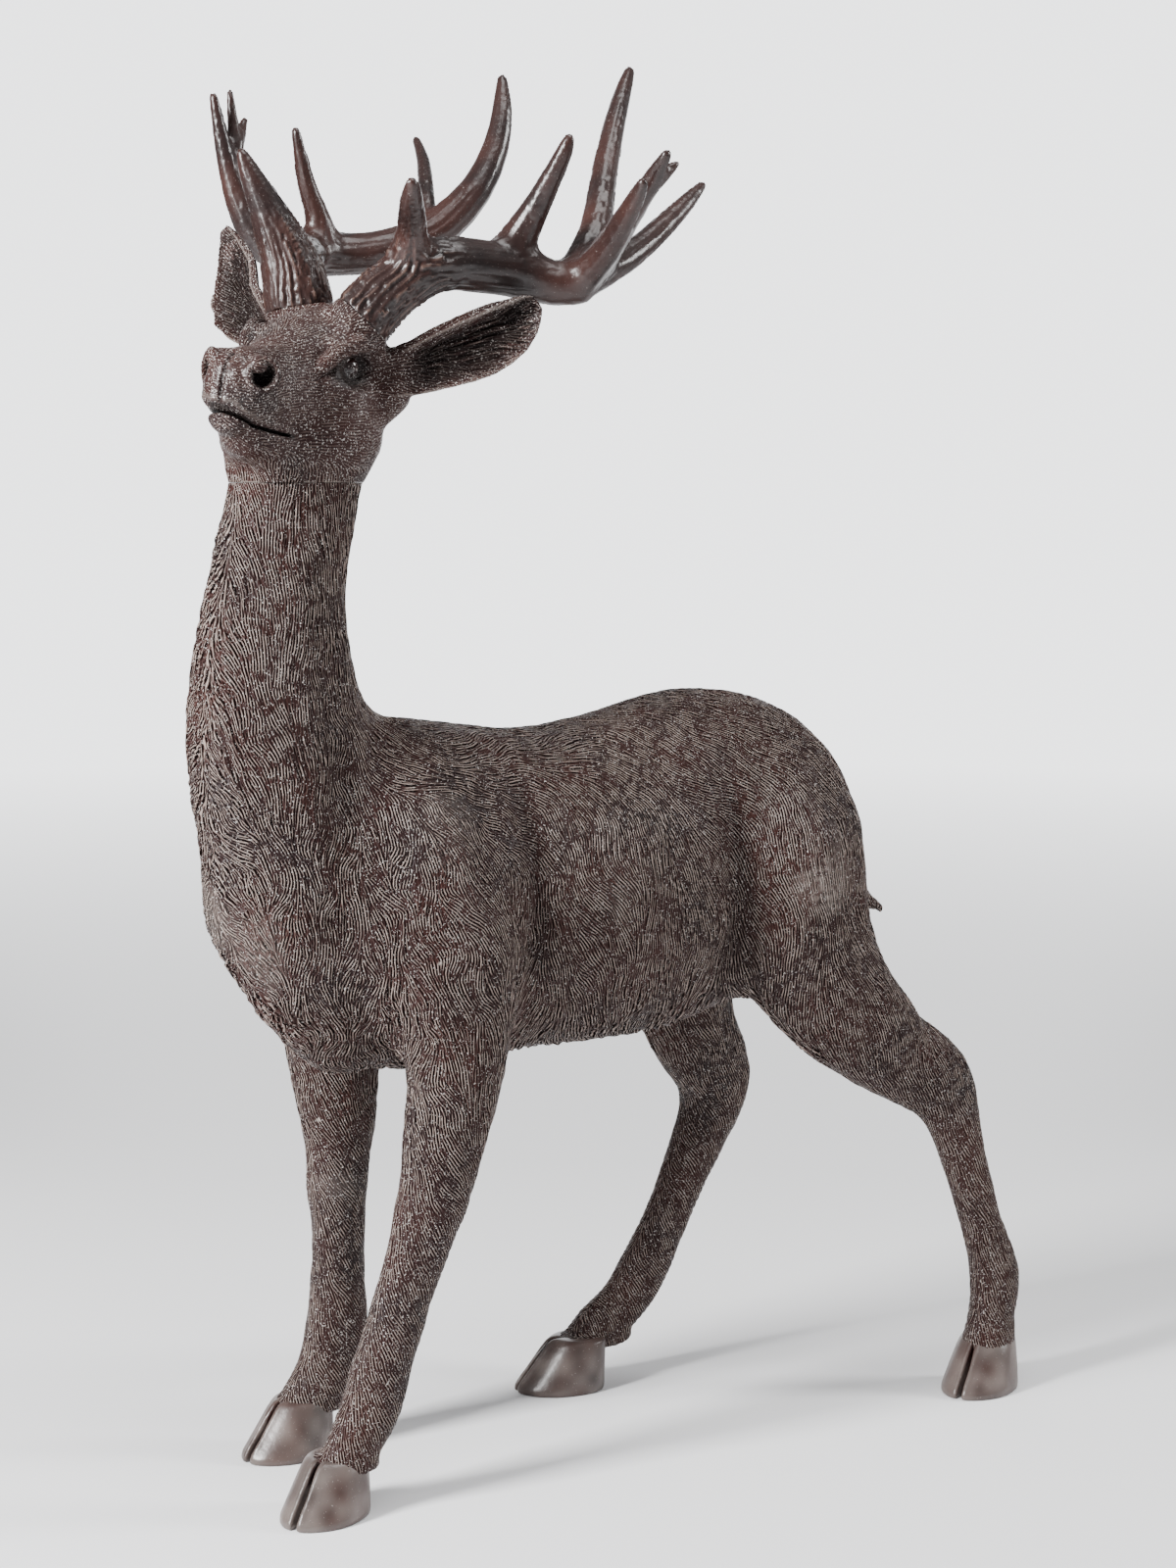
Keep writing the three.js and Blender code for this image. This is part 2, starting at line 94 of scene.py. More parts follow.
class Field:
    """Distances to a surface, on a grid with its first point at low."""

    def __init__(self, low, high, voxel):
        self.voxel = voxel
        self.low = np.array(low, float)
        self.shape = tuple(np.ceil((np.array(high) - self.low) / voxel).astype(int) + 1)
        self.d = np.zeros(self.shape, np.float32)

    def axes(self):
        """The three coordinates, shaped so that they broadcast over the grid."""
        line = [self.low[i] + self.voxel * np.arange(self.shape[i]) for i in range(3)]
        return np.meshgrid(*[v.astype(np.float32) for v in line], indexing="ij", sparse=True)

    def measure(self, points, faces, reach):
        """Distances to a closed mesh, up to reach on both sides."""
        transform = vdb.createLinearTransform(self.voxel)
        local = (points - self.low).astype(np.float32)
        key = "triangles" if faces.shape[1] == 3 else "quads"
        grid = vdb.FloatGrid.createLevelSetFromPolygons(
            local, **{key: faces}, transform=transform, halfWidth=reach / self.voxel
        )
        grid.copyToArray(self.d)
        return self

    def surface(self, level=0.0):
        """Points and quads where the distance is level."""
        grid = vdb.FloatGrid(float(self.d.max()))
        grid.copyFromArray(self.d)
        grid.transform = vdb.createLinearTransform(self.voxel)
        points, quads = grid.convertToQuads(level)
        return points + self.low.astype(np.float32), quads

    def closed(self, radius):
        """The same field with creases narrower than radius filled in."""
        wide = self.blank().measure(*self.surface(radius), radius + 4 * self.voxel)
        return self.blank().measure(*wide.surface(-radius), 0.03)

    def blurred(self, width):
        """The distances smoothed by a bell curve of that width."""
        reach = int(math.ceil(2.6 * width / self.voxel))
        steps = np.arange(-reach, reach + 1)
        weights = np.exp(-0.5 * (steps * self.voxel / width) ** 2)
        weights /= weights.sum()
        out = self.d
        for axis in range(3):
            total = np.zeros_like(out)
            for step, weight in zip(steps, weights):
                source, target = [slice(None)] * 3, [slice(None)] * 3
                source[axis] = slice(max(step, 0), out.shape[axis] + min(step, 0))
                target[axis] = slice(max(-step, 0), out.shape[axis] + min(-step, 0))
                total[tuple(target)] += np.float32(weight) * out[tuple(source)]
            out = total
        return out

    def blank(self):
        """An empty field on the same grid."""
        made = copy.copy(self)
        made.d = np.zeros(self.shape, np.float32)
        return made


def ramp(value, start, end):
    """0 before start, 1 after end, smooth between."""
    t = np.clip((value - start) / (end - start), 0, 1)
    return t * t * (3 - 2 * t)


def band(value, start, full, fade, end):
    """1 between full and fade, 0 before start and after end."""
    return ramp(value, start, full) * (1 - ramp(value, fade, end))


def soft_min(a, b, k):
    """Union of two distances, rounded over k."""
    h = np.maximum(k - np.abs(a - b), 0) / k
    return np.minimum(a, b) - h * h * k / 4


def soft_max(a, b, k):
    """Overlap of two distances, rounded over k."""
    return -soft_min(-a, -b, k)


def near_segment(x, y, z, start, end):
    """Distance to a segment, and the share of its length at the nearest place."""
    run = end - start
    dot = (x - start[0]) * run[0] + (y - start[1]) * run[1] + (z - start[2]) * run[2]
    share = np.clip(dot / (run @ run), 0, 1)
    far = np.sqrt(
        (x - start[0] - share * run[0]) ** 2
        + (y - start[1] - share * run[1]) ** 2
        + (z - start[2] - share * run[2]) ** 2
    )
    return far, share


# Noise on points


class Cells:
    """Random numbers for the whole-number cells that hold some points."""

    def __init__(self, points, size, seed, kinds):
        scaled = points / size
        base = np.floor(scaled).astype(np.int64)
        self.inside = (scaled - base).astype(np.float32)
        self.index = base - base.min(axis=0) + 1
        shape = tuple(self.index.max(axis=0) + 2) + (kinds,)
        self.table = np.random.default_rng(seed).random(shape, dtype=np.float32)

    def at(self, x, y, z):
        """The numbers of the cells that many steps away from each point."""
        return self.table[self.index[:, 0] + x, self.index[:, 1] + y, self.index[:, 2] + z]


def strokes(points, across, length, pitch, seed):
    """Stripes with a spacing of pitch, square to across and about length long, in -1..1."""
    cells = Cells(points, length, seed, 8)
    inside = cells.inside
    turns = np.float32(2 * math.pi * length / pitch)
    total = np.zeros(len(points), np.float32)
    across = across.astype(np.float32)
    for x in (-1, 0, 1):
        for y in (-1, 0, 1):
            for z in (-1, 0, 1):
                chance = cells.at(x, y, z)
                for kind in (0, 4):
                    ax = inside[:, 0] - x - chance[:, kind]
                    ay = inside[:, 1] - y - chance[:, kind + 1]
                    az = inside[:, 2] - z - chance[:, kind + 2]
                    near = np.maximum(1 - ax * ax - ay * ay - az * az, 0)
                    run = ax * across[:, 0] + ay * across[:, 1] + az * across[:, 2]
                    phase = np.float32(2 * math.pi) * chance[:, kind + 3]
                    total += near * near * np.cos(turns * run + phase)
    return np.clip(total / 1.1, -1, 1)


def mottle(points, size, seed):
    """Smooth noise with lumps of that size, in about -1..1."""
    cells = Cells(points, size, seed, 1)
    t = cells.inside
    t = t * t * (3 - 2 * t)
    total = np.zeros(len(points), np.float32)
    for x in (0, 1):
        for y in (0, 1):
            for z in (0, 1):
                share = (
                    (t[:, 0] if x else 1 - t[:, 0])
                    * (t[:, 1] if y else 1 - t[:, 1])
                    * (t[:, 2] if z else 1 - t[:, 2])
                )
                total += share * cells.at(x, y, z)[:, 0]
    return total * 2 - 1


# Meshes


def build(name, points, faces, levels=0):
    """A mesh object from points and faces, subdivided smoothly levels times."""
    mesh = bpy.data.meshes.new(name)
    mesh.from_pydata(points.tolist(), [], faces if isinstance(faces, list) else faces.tolist())
    thing = bpy.data.objects.new(name, mesh)
    bpy.context.scene.collection.objects.link(thing)
    if levels:
        modifier = thing.modifiers.new("smooth", "SUBSURF")
        modifier.levels = levels
        done = bpy.data.meshes.new_from_object(
            thing.evaluated_get(bpy.context.evaluated_depsgraph_get())
        )
        thing.modifiers.clear()
        thing.data = done
        bpy.data.meshes.remove(mesh)
    return thing


def points_of(thing):
    return column(thing.data.vertices, "co", np.float32, 3)


def normals_of(thing):
    return column(thing.data.vertex_normals, "vector", np.float32, 3)


def set_points(thing, points):
    thing.data.vertices.foreach_set("co", points.astype(np.float32).ravel())
    thing.data.update()


def unit(vectors):
    return vectors / np.maximum(np.linalg.norm(vectors, axis=1, keepdims=True), 1e-9)


def flatten(directions, normals):
    """Directions laid into the surface."""
    return unit(directions - normals * np.sum(directions * normals, axis=1, keepdims=True))


def keep_values(thing, name, values):
    """Stores one number or one vector for each point, for the material to read."""
    kind = "FLOAT" if values.ndim == 1 else "FLOAT_VECTOR"
    attribute = thing.data.attributes.new(name, kind, "POINT")
    key = "value" if values.ndim == 1 else "vector"
    attribute.data.foreach_set(key, values.astype(np.float32).ravel())


def cut(thing, point, normal):
    """Cuts the mesh by a plane, drops the side the normal points to, and closes the hole."""
    work = bmesh.new()
    work.from_mesh(thing.data)
    everything = work.verts[:] + work.edges[:] + work.faces[:]
    found = bmesh.ops.bisect_plane(
        work, geom=everything, plane_co=point, plane_no=normal, clear_outer=True
    )
    edges = [item for item in found["geom_cut"] if isinstance(item, bmesh.types.BMEdge)]
    bmesh.ops.contextual_create(work, geom=edges)
    work.to_mesh(thing.data)
    work.free()


# Coat of the trunk, neck and legs

COAT_BOX = ([-0.31, -0.61, 0.0], [0.31, 0.61, 1.27])
CREASE = 0.06  # creases of the trunk up to this radius are filled in
SKIN = 0.03  # how far from the surface distances are kept
TRUNK = (0.52, 0.62, 1.12, 1.2)  # heights between which the trunk's creases are filled
LOOSE = (0.40, 0.60)  # heights where the legs' firm smoothing turns into the soft one
FIRM, SOFT = 0.006, 0.014  # widths of the smoothing
INSIDE_HOOVES = 0.05  # height where the legs end, hidden in the hooves

# The short tail in the body's own measurements
TAIL_TIP = (0.006, 0.547, 0.636)
TAIL_ROOT = (0.006, 0.512, 0.654)
TAIL_RADII = (0.005, 0.012)


def coat_field():
    """The solids of body and neck with their creases filled and their facets smoothed."""
    field = Field(*COAT_BOX, COAT_VOXEL)
    field.measure(*joined([node_mesh("body"), node_mesh("head")]), CREASE + 0.02)
    x, y, z = field.axes()
    filled = field.closed(CREASE)
    field.d = np.clip(field.d, -SKIN, SKIN)
    field.d = field.d + band(z, *TRUNK) * (np.clip(filled.d, -SKIN, SKIN) - field.d)
    firm, soft = field.blurred(FIRM), field.blurred(SOFT)
    field.d = firm + ramp(z, *LOOSE) * (soft - firm)
    row = int(round(CORONET / field.voxel))
    field.d[:, :, :row] = field.d[:, :, row : row + 1]
    field.d = np.maximum(field.d, INSIDE_HOOVES - z)
    field.d[:, :, -1] = SKIN
    far, share = near_segment(x, y, z, SHIFT + TAIL_TIP, SHIFT + TAIL_ROOT)
    thin, thick = TAIL_RADII
    tail = far - thin - (thick - thin) * share
    field.d = soft_min(field.d, tail.astype(np.float32), 0.006)
    return field


def parting(z):
    """Where the throat's parting runs at that height."""
    return SHIFT[0] + np.interp(z, *PARTING)


def flow_of(points, normals):
    """The direction in which the carved hair lies, at each point."""
    y, z = points[:, 1] - SHIFT[1], points[:, 2]
    trunk = ramp(z, 0.45, 0.60) * ramp(y, -0.36, -0.12)
    top = ramp(z, 0.76, 0.90)
    leg = 1 - ramp(z, 0.40, 0.55)
    back = 0.10 + trunk * (0.25 + 1.7 * top) + 0.45 * leg
    down = -np.ones(len(points))
    apart = 0.8 * np.tanh((points[:, 0] - parting(z)) / 0.02)
    throat = ramp(-normals[:, 1], 0.45, 0.85) * ramp(z, 0.55, 0.65)
    directions = np.stack([throat * apart, back, down], axis=1)
    flow = flatten(directions, normals)
    side = np.cross(normals, flow)
    front = band(z, 0.40, 0.55, 0.85, 1.0) * (1 - ramp(y, -0.20, 0.0))
    angle = 0.65 * trunk * mottle(points, 0.10, 5)
    angle += 0.25 * mottle(points, 0.06, 15)
    angle += (0.28 + 0.55 * front) * mottle(points, 0.026, 6)
    angle = angle[:, None]
    return flow * np.cos(angle) + side * np.sin(angle)


# Muscles and hollows in the body's own measurements: place, spread and height in metres.
# The first list is on both flanks, the second on one leg.
FLANKS = [
    ((0.145, -0.112, 0.80), (0.05, 0.022, 0.085), -0.012),
    ((0.145, -0.112, 0.66), (0.05, 0.020, 0.070), -0.011),
    ((0.130, -0.230, 0.80), (0.06, 0.050, 0.080), 0.009),
    ((0.150, -0.190, 0.655), (0.05, 0.034, 0.050), 0.010),
    ((0.110, -0.290, 0.650), (0.05, 0.026, 0.070), -0.007),
    ((0.150, 0.020, 0.720), (0.06, 0.075, 0.090), 0.007),
    ((0.140, 0.192, 0.760), (0.05, 0.024, 0.080), -0.014),
    ((0.120, 0.205, 0.640), (0.05, 0.024, 0.070), -0.015),
    ((0.150, 0.305, 0.740), (0.06, 0.060, 0.110), 0.009),
    ((0.080, 0.175, 0.890), (0.04, 0.040, 0.030), 0.006),
    ((0.090, -0.350, 0.860), (0.05, 0.026, 0.100), -0.008),
    ((0.080, -0.430, 0.690), (0.05, 0.035, 0.060), 0.006),
    ((0.060, -0.270, 0.900), (0.03, 0.050, 0.030), 0.005),
    ((0.070, -0.160, 0.890), (0.04, 0.030, 0.025), -0.005),
    ((0.120, 0.370, 0.700), (0.05, 0.020, 0.090), -0.005),
]
ONE_LEG = [
    ((0.130, 0.460, 0.490), (0.05, 0.040, 0.045), 0.008),
    ((0.150, 0.500, 0.520), (0.04, 0.016, 0.060), -0.009),
    ((0.118, -0.252, 0.352), (0.05, 0.030, 0.030), 0.007),
    ((-0.118, -0.250, 0.340), (0.05, 0.030, 0.030), 0.007),
    ((0.160, 0.585, 0.240), (0.012, 0.016, 0.110), -0.004),
    ((-0.035, -0.425, 1.200), (0.06, 0.040, 0.060), 0.006),
    ((-0.030, -0.450, 0.690), (0.07, 0.040, 0.065), 0.010),
]

# Middle line of the throat, where the hair parts: height and place across, in metres
PARTING = ([0.63, 0.773, 0.982, 1.095, 1.207], [-0.003, -0.005, 0.016, 0.019, -0.002])

# Small white chips in the patina: place and size in metres
CHIPS = [
    ((-0.135, 0.246, 0.478), 0.003),
    ((0.166, -0.263, 0.658), 0.003),
    ((-0.092, -0.281, 0.429), 0.0027),
    ((0.119, 0.200, 0.560), 0.0027),
    ((0.100, 0.120, 0.505), 0.003),
    ((0.110, 0.060, 0.515), 0.0027),
    ((0.090, -0.020, 0.520), 0.0027),
    ((-0.150, 0.360, 0.420), 0.0027),
    ((0.150, 0.030, 0.760), 0.003),
]


def swell(points):
    """How far the muscles lift each point."""
    p = points - SHIFT
    total = np.zeros(len(p))
    mirrored = [((-c[0], c[1], c[2]), spread, high) for c, spread, high in FLANKS]
    for centre, spread, high in FLANKS + mirrored + ONE_LEG:
        far = ((p - np.array(centre)) / np.array(spread)) ** 2
        total += high * np.exp(-far.sum(axis=1))
    return total


def seam_filler(points):
    """Where specks of pale filler sit along the seam round the neck."""
    small = mottle(points, 0.012, 32)
    near = 1 - ramp(np.abs(points[:, 2] - SEAM) + 0.0015 * small, 0.001, 0.003)
    return near * (small > 0.1)


def tone(thing, flow, normals, relief, hair, shade):
    """What the patina and the painted light need: the lie of the hair, carved height, hair
    depth, and dark or pale, which holds real tone along with painted shade and painted
    highlights.
    """
    keep_values(thing, "across", np.cross(normals, flow))
    keep_values(thing, "relief", relief)
    keep_values(thing, "hair", hair)
    keep_values(thing, "shade", np.clip(shade, -1, 1))


def split(thing, count):
    """The same mesh as count lighter ones, cut across its length, with unbroken shading."""
    data = thing.data
    points, normals = points_of(thing), normals_of(thing)
    corners = column(data.loops, "vertex_index", np.int32)
    starts = column(data.polygons, "loop_start", np.int32)
    sizes = column(data.polygons, "loop_total", np.int32)
    kept = {"across": column(data.attributes["across"].data, "vector", np.float32, 3)}
    for name in ("relief", "hair", "shade"):
        kept[name] = column(data.attributes[name].data, "value", np.float32)
    order = np.argsort(points[corners[starts], 1], kind="stable")
    made = []
    for number, chosen in enumerate(np.array_split(order, count)):
        faces = [corners[a : a + n] for a, n in zip(starts[chosen], sizes[chosen])]
        used = np.unique(np.concatenate(faces))
        renumber = np.zeros(len(points), np.int64)
        renumber[used] = np.arange(len(used))
        kept_faces = [renumber[face].tolist() for face in faces]
        part = build(f"{thing.name}_{number + 1}", points[used], kept_faces)
        for name, values in kept.items():
            keep_values(part, name, values[used])
        part.data.shade_smooth()
        part.data.normals_split_custom_set_from_vertices(normals[used].tolist())
        made.append(part)
    bpy.data.objects.remove(thing)
    return made


def coat():
    """The coat with its carved hair, in a few pieces."""
    field = coat_field()
    thing = build("coat", *field.surface(), levels=1)
    cut(thing, (0, 0, SEAM - JOINT), (0, 0, 1))
    points, normals = points_of(thing), normals_of(thing)
    calm = ramp(np.abs(points[:, 2] - SEAM), 0.0, 0.010)
    lift = swell(points)
    points = points + normals * lift[:, None] * [1, 1, 0]
    set_points(thing, points)
    normals = normals_of(thing)
    flow = flow_of(points, normals)
    across = np.cross(normals, flow)
    x, y, z = (points - SHIFT).T
    throat = ramp(-normals[:, 1], 0.45, 0.85) * band(z, 0.50, 0.60, 1.14, 1.2)
    line = np.exp(-(((points[:, 0] - parting(z)) / 0.007) ** 2)) * throat
    edge = ramp(-normals[:, 2], 0.2, 0.7) * band(z, 0.45, 0.48, 0.58, 0.62)
    leg = 1 - ramp(z, 0.30, 0.50)
    locks = strokes(points, across, *LOCK, 1)
    tufts = strokes(points, across, *TUFT, 3)
    lumps = mottle(points, 0.035, 8)
    height = (0.0011 - 0.0004 * leg) * locks + (0.0026 * throat + 0.0024 * edge) * tufts
    height += 0.0012 * lumps - 0.002 * line
    set_points(thing, points + normals * (height * calm)[:, None])
    broad = mottle(points, 0.07, 31)
    flakes = mottle(points, 0.006, 35) > 0.2
    rubbed = np.exp(-(((y - 0.305) / 0.030) ** 2) - (((z - 0.71) / 0.040) ** 2)) * (x > 0)
    # A painted highlight down the throat, darker in the hollows between the muscles and paler on
    # them, and random tone.
    shade = 0.04 * throat + 28 * np.clip(lift, -0.012, 0.006) + 0.12 * broad
    shade += 0.25 * rubbed * flakes + 0.4 * seam_filler(points)
    for place, size in CHIPS:
        shade += 1.4 * (np.linalg.norm(points - SHIFT - place, axis=1) < size)
    raised = 0.6 * locks + 0.5 * (throat + edge) * tufts
    tone(thing, flow, normals, raised, 1 - 0.25 * leg, shade)
    return split(thing, 4)


# Hooves: where each sole stands in the body's own measurements, and where its toe points

HOOVES = {
    "front_left": (0.108, -0.394, 24),
    "front_right": (-0.124, -0.314, 8),
    "hind_left": (0.172, 0.584, 22),
    "hind_right": (-0.156, 0.124, -16),
}
HOOF_LENGTH, HOOF_WIDTH, HOOF_HEIGHT = 0.122, 0.094, 0.070

# From the sole up: shares of the height, the length and the width, and of the length that the
# middle lies back
HOOF_ROWS = [
    (0.00, 1.00, 1.00, 0.00),
    (0.12, 0.99, 1.01, 0.01),
    (0.45, 0.84, 0.93, 0.09),
    (0.80, 0.70, 0.82, 0.17),
    (1.02, 0.60, 0.72, 0.23),
]
SQUARENESS = 2.4  # of the hoof's outline, where 2 is an ellipse
CLEFT = 0.0032  # half the width of the slot between the toes
CLEFT_DEPTH = 0.012


def hoof(name, x, y, toe):
    """A cloven hoof at a place, with its toe turned by some degrees."""
    field = Field([-0.060, -0.080, -0.004], [0.060, 0.080, 0.080], HOOF_VOXEL)
    side, ahead, up = field.axes()
    levels, *shares = np.array(HOOF_ROWS).T
    share = np.clip(up / HOOF_HEIGHT, 0, 1)
    long, wide, back = [np.interp(share, levels, row) for row in shares]
    half_length, half_width = 0.5 * HOOF_LENGTH * long, 0.5 * HOOF_WIDTH * wide
    v = (ahead - HOOF_LENGTH * back) / half_length
    taper = 1 - 0.24 * np.clip(-v, 0, 1) ** 2
    u = side / (half_width * taper)
    rounded = (np.abs(u) ** SQUARENESS + np.abs(v) ** SQUARENESS) ** (1 / SQUARENESS)
    field.d = ((rounded - 1) * 0.85 * np.minimum(half_length, half_width)).astype(np.float32)
    front = 1 - ramp(v, -0.75, 0.1)
    lip = np.exp(-(((np.abs(side) - 0.007) / 0.004) ** 2)) * front * ramp(up, 0.0, 0.02)
    field.d = field.d - 0.0022 * lip
    slot = np.abs(side) - CLEFT * front * (1 - 0.6 * ramp(up, 0.035, 0.062))
    depth = -(field.d + CLEFT_DEPTH)
    field.d = soft_max(field.d, -soft_max(slot, depth, 0.002), 0.002)
    field.d = soft_max(field.d, -up, 0.002)
    field.d = soft_max(field.d, up - HOOF_HEIGHT, 0.006)
    field.d = field.blurred(0.0012)
    thing = build("hoof_" + name, *field.surface())
    points = points_of(thing)
    turn = np.array(Matrix.Rotation(math.radians(toe), 3, "Z"))
    placed = points @ turn.T + np.array([x, y, 0]) + SHIFT
    placed[:, 2] = np.maximum(placed[:, 2], 0)
    set_points(thing, placed)
    normals = normals_of(thing)
    axis = np.repeat([[0.0, 0.35, 1.0]], len(placed), axis=0) @ turn.T
    flow = flatten(axis, normals)
    none = np.zeros(len(placed))
    # Paler all over as a painted reflection of the bright floor, with random tone, and painted
    # shade in the cleft between the toes.
    slot = np.clip(1 - np.abs(points[:, 0]) / 0.003, 0, 1) * (points[:, 1] < 0)
    shade = 0.33 + 0.15 * mottle(placed, 0.02, 36) - 1.4 * slot
    tone(thing, flow, normals, none, none, shade)
    return thing


# Head, sculpted in its own frame: left, back and up from the point between the eyes

HEAD_PLACE = (
    Matrix.Translation(Vector(SHIFT) + Vector((0.030, -0.365, 1.363)))
    @ Matrix.Rotation(math.radians(31), 4, "Z")
    @ Matrix.Rotation(math.radians(-3), 4, "X")
    @ Matrix.Rotation(math.radians(9.5), 4, "Y")
)


def carry(points, matrix):
    """Points moved by a matrix."""
    m = np.array(matrix)
    return points @ m[:3, :3].T + m[:3, 3]


class Clay:
    """Sculpting tools on the head's field. Places are forward, left and up in millimetres."""

    def __init__(self, field):
        self.field = field

    def block(self, centre, reach):
        """The part of the grid near a place, and its coordinates in millimetres."""
        f, l, u = centre
        middle = np.array([l, -f, u]) / 1000
        field = self.field
        first = np.floor((middle - reach / 1000 - field.low) / field.voxel).astype(int)
        last = np.ceil((middle + reach / 1000 - field.low) / field.voxel).astype(int)
        first = np.clip(first, 0, field.shape)
        last = np.clip(last, 0, field.shape)
        window = tuple(slice(a, b) for a, b in zip(first, last))
        x, y, z = field.axes()
        left, back, up = x[window[0]], y[:, window[1]], z[:, :, window[2]]
        return window, -back * 1000, left * 1000, up * 1000

    def merge(self, window, distance, k, add):
        """Adds a form to the clay or takes it away, rounded over k."""
        old = self.field.d[window]
        distance, k = distance / 1000, k / 1000
        if add:
            self.field.d[window] = soft_min(old, distance, k)
        else:
            self.field.d[window] = soft_max(old, -distance, k)

    def ball(self, place, halves, k, add=True, turn=0.0):
        """An ellipsoid with its half sizes, turned about the upright axis."""
        window, f, l, u = self.block(place, max(halves) + 3 * k)
        f, l, u = f - place[0], l - place[1], u - place[2]
        c, s = math.cos(turn), math.sin(turn)
        f, l = c * f + s * l, c * l - s * f
        a, b, h = halves
        k0 = np.sqrt((f / a) ** 2 + (l / b) ** 2 + (u / h) ** 2)
        k1 = np.sqrt((f / a**2) ** 2 + (l / b**2) ** 2 + (u / h**2) ** 2)
        self.merge(window, k0 * (k0 - 1) / np.maximum(k1, 1e-5), k, add)

    def cord(self, places, radius, k, add=True):
        """A rope through several places."""
        places = np.array(places, float)
        middle = places.mean(axis=0)
        reach = np.abs(places - middle).max() + radius + 3 * k
        window, f, l, u = self.block(middle, reach)
        nearest = np.inf
        for start, end in zip(places[:-1], places[1:]):
            nearest = np.minimum(nearest, near_segment(f, l, u, start, end)[0])
        self.merge(window, nearest - radius, k, add)


FAR_NOSTRIL = -8  # the far nostril sits nearer the middle


def face(clay):
    """Jaw, brows, eyes, nostrils, nose and mouth."""
    for hand in (1, -1):

        def at(*places):
            return [(f, hand * l, u) for f, l, u in places]

        # cheekbone, cheek, the hollow before it, and the web below the ear
        clay.cord(at((44, 50, -28), (0, 66, -30), (-44, 74, -32)), 7, 16)
        clay.ball((-30, hand * 66, -62), (34, 16, 26), 18)
        clay.ball((66, hand * 56, -34), (26, 8, 16), 10, add=False)
        clay.ball((-78, hand * 86, -28), (24, 18, 18), 16)
        # eye socket, brow, eyeball, both lids and the tear duct
        clay.ball((-12, hand * 84, -3), (37, 28, 25), 3, add=False, turn=hand * -0.2)
        brow = at((36, 52, -8), (22, 62, 12), (-6, 72, 25), (-36, 76, 25), (-60, 73, 8))
        clay.cord(brow, 9.0, 4)
        clay.ball((-18, hand * 51, -4), (14, 14, 14), 1.0)
        upper = at((25, 59, -10), (10, 64, 6), (-10, 67, 14), (-32, 69, 11), (-48, 70, -3))
        clay.cord(upper, 2.8, 2)
        lower = at((25, 59, -10), (6, 62, -17), (-14, 64, -21), (-36, 67, -16), (-48, 70, -3))
        clay.cord(lower, 2.4, 2)
        clay.cord(at((24, 60, -10), (38, 55, -17), (50, 51, -24)), 2.6, 3, add=False)
        nostril(clay, hand)
    # lower lip, upper lip, and the line of the jaw
    clay.ball((134, -2, -89), (17, 22, 13), 8)
    clay.ball((149, -6, -60), (14, 24, 12), 8)
    clay.cord([(95, -8, -96), (58, -28, -108)], 22, 22)
    clay.cord([(90, 8, -98), (40, 20, -118)], 22, 24)
    # flat nose pad
    clay.ball((150, 0, -40), (15, 28, 29), 6)


def nostril(clay, hand):
    """A bulge with a rim round a hole, and the lobe inside it."""
    inward = 0 if hand > 0 else FAR_NOSTRIL
    clay.ball((137, hand * (31 + inward), -28), (18, 17, 21), 8)
    rim = []
    for step in range(17):
        angle = 2 * math.pi * step / 16
        out, high = 17.0 * math.cos(angle), 17.5 * math.sin(angle)
        rim.append((145 - 0.62 * out, hand * (39.5 + inward + 0.75 * out), -28 + high))
    clay.cord(rim, 3.8, 2.5)
    hole = (152, hand * (46 + inward), -29)
    clay.ball(hole, (28, 14.5, 15.5), 2, add=False, turn=hand * 0.69)
    clay.ball((147, hand * (33 + inward), -19), (10, 10, 9), 3)


def mouth_line(forward):
    """Height of the mouth, in millimetres."""
    return np.interp(forward, [50, 70, 97, 122, 151, 160], [-93, -92, -90, -87, -77, -70])


def lips(clay):
    """Both lips with the open mouth between them, and the groove down the nose."""
    window, f, l, u = clay.block((110, 0, -55), 70)
    d = clay.field.d[window] * 1000
    off = u - mouth_line(f)
    upper = 1.6 * np.exp(-(((off - 6) / 4) ** 2))
    lower = 2.2 * np.exp(-(((off + 6.5) / 4) ** 2))
    d = d - ramp(f, 50, 76) * (upper + lower)
    gap = np.abs(off) - 1.8 * ramp(f, 52, 70)
    d = soft_max(d, -np.maximum(gap, -d - 9), 1.2)
    groove = np.maximum(np.abs(l) - 2.0, np.maximum(u + 12, -66 - u))
    d = soft_max(d, -np.maximum(groove, -d - 3), 3)
    clay.field.d[window] = d / 1000


def head_field():
    """The solid of the head, smoothed and sculpted, in its own frame."""
    field = Field([-0.260, -0.190, -0.215], [0.260, 0.185, 0.160], HEAD_VOXEL)
    inverse = HEAD_PLACE.inverted()
    points, faces = joined([node_mesh("head"), node_mesh("body")])
    field.measure(carry(points, inverse), faces, 0.016)
    x, y, z = field.axes()
    firm = field.blurred(0.002)
    soft = field.blurred(0.007)
    ears = ramp(np.abs(x), 0.070, 0.095) * ramp(z, -0.05, -0.02)
    field.d = soft + ears * (firm - soft)
    for row in ANTLERS.values():
        stump(field, inverse, row)
    clay = Clay(field)
    face(clay)
    lips(clay)
    return field


def stump(field, inverse, row):
    """Squares off the bony stump below an antler, in the head's own frame."""
    butt = np.array(inverse @ (Vector(row["butt"]) + Vector(SHIFT)))
    axis = np.array(inverse.to_3x3() @ Vector(row["axis"]).normalized())
    x, y, z = field.axes()
    x, y, z = x - butt[0], y - butt[1], z - butt[2]
    high = x * axis[0] + y * axis[1] + z * axis[2]
    far = np.sqrt(np.maximum(x * x + y * y + z * z - high * high, 0))
    rod = np.maximum(far - row["radius"], np.abs(high) - 0.02)
    field.d = soft_min(field.d, rod, 0.012)
    seat = np.maximum(far - row["radius"] - 0.004, -high - JOINT)
    field.d = np.maximum(field.d, -np.maximum(seat, high - 0.05))


